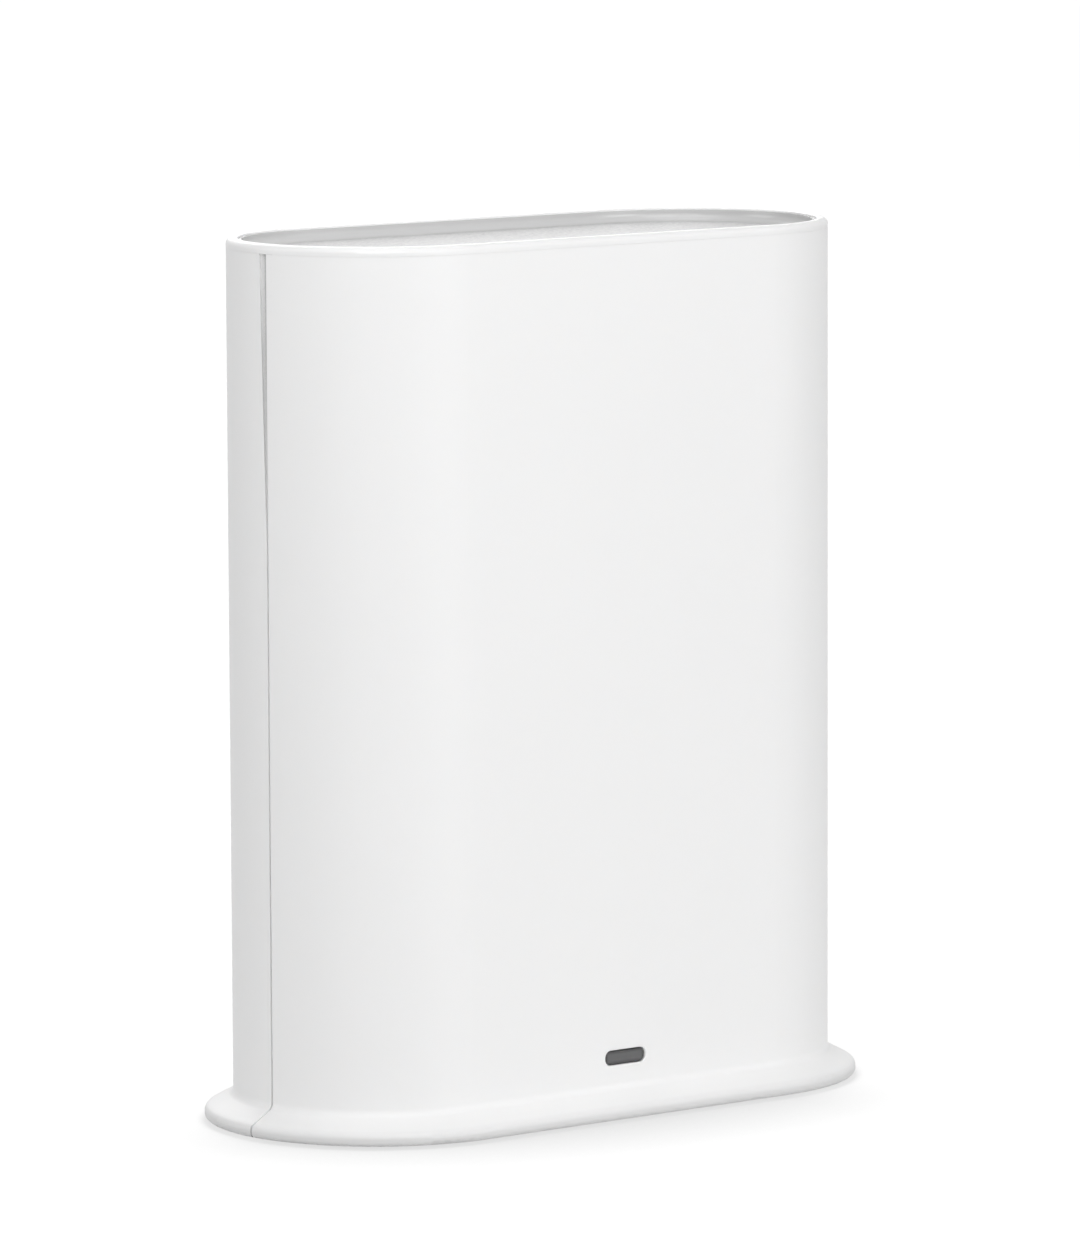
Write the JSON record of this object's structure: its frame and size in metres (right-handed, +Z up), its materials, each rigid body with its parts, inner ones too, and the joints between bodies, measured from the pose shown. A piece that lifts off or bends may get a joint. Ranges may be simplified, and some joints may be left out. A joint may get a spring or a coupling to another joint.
{
  "type": "security camera base station",
  "caption": "Upright white base station for wireless cameras: rounded-end body on a flared foot, recessed grey top, status window low in front, port bay at the back.",
  "frame": {"origin": "centre of the foot's outline on the floor, level with the underside of the rubber feet", "axes": "+Z up; -Y is the front with the status window, +Y the back with the ports; +X is to the right seen from the front"},
  "size_m": [0.143, 0.068, 0.17],
  "materials": {
    "shell_white": "fine-textured moulded white",
    "bezel_white": "satin moulded white",
    "panel_grey": "satin light grey",
    "base_white": "matte moulded white",
    "button_white": "satin light grey",
    "foot_rubber": "matte",
    "smoked": "smoked translucent",
    "clear": "clear moulded",
    "board_green": "solder mask over glass fibre",
    "part_black": "moulded black",
    "plunger_brown": "moulded brown",
    "sheet_steel": "nickel-plated sheet",
    "screw_steel": "zinc-plated",
    "contact_gold": "gold flash",
    "pin_nickel": "nickel-plated",
    "sink_aluminium": "extruded",
    "pad_blue": "soft silicone",
    "pin_plastic": "moulded nylon",
    "can_tin": "tinned sheet",
    "capacitor_can": "drawn can",
    "coil_grey": "ferrite",
    "antenna_copper": "copper on film",
    "lead_black": "jacketed",
    "light_amber": "diffused"
  },
  "bodies": {
    "housing": {"front_shell": "shell_white", "rear_shell": "shell_white", "top_bezel": "bezel_white", "top_panel": "panel_grey", "base_plate": "base_white", "rubber_feet": "foot_rubber", "base_screws": "screw_steel", "status_window": "smoked", "light_guide": "clear", "status_light": "light_amber", "main_board": "board_green", "board_screws": "screw_steel", "ethernet_jack": "part_black", "ethernet_contacts": "contact_gold", "ethernet_lights": "light_amber", "usb_socket": "sheet_steel", "usb_tongue": "part_black", "usb_contacts": "contact_gold", "power_jack": "part_black", "power_pin": "pin_nickel", "sync_switch": "part_black", "reset_switch": "part_black", "processor": "part_black", "thermal_pad": "pad_blue", "heat_sink": "sink_aluminium", "sink_pins": "pin_plastic", "memory_chips": "part_black", "shield_cans": "can_tin", "ethernet_transformer": "part_black", "capacitors": "capacitor_can", "inductors": "coil_grey", "antenna_left": "antenna_copper", "antenna_right": "antenna_copper", "antenna_top": "antenna_copper", "coax_left": "lead_black", "coax_right": "lead_black", "coax_top": "lead_black", "coax_plugs": "contact_gold"},
    "sync": {"sync_button": "button_white", "sync_plunger": "plunger_brown"},
    "reset": {"reset_plunger": "plunger_brown"}
  },
  "joints": [
    {"name": "sync_press", "type": "slide", "parent": "housing", "child": "sync", "axis": [0, -1, 0], "range_m": [0, 0.0006], "stiffness_N_per_m": 1500},
    {"name": "reset_press", "type": "slide", "parent": "housing", "child": "reset", "axis": [0, -1, 0], "range_m": [0, 0.0003], "stiffness_N_per_m": 2500}
  ]
}
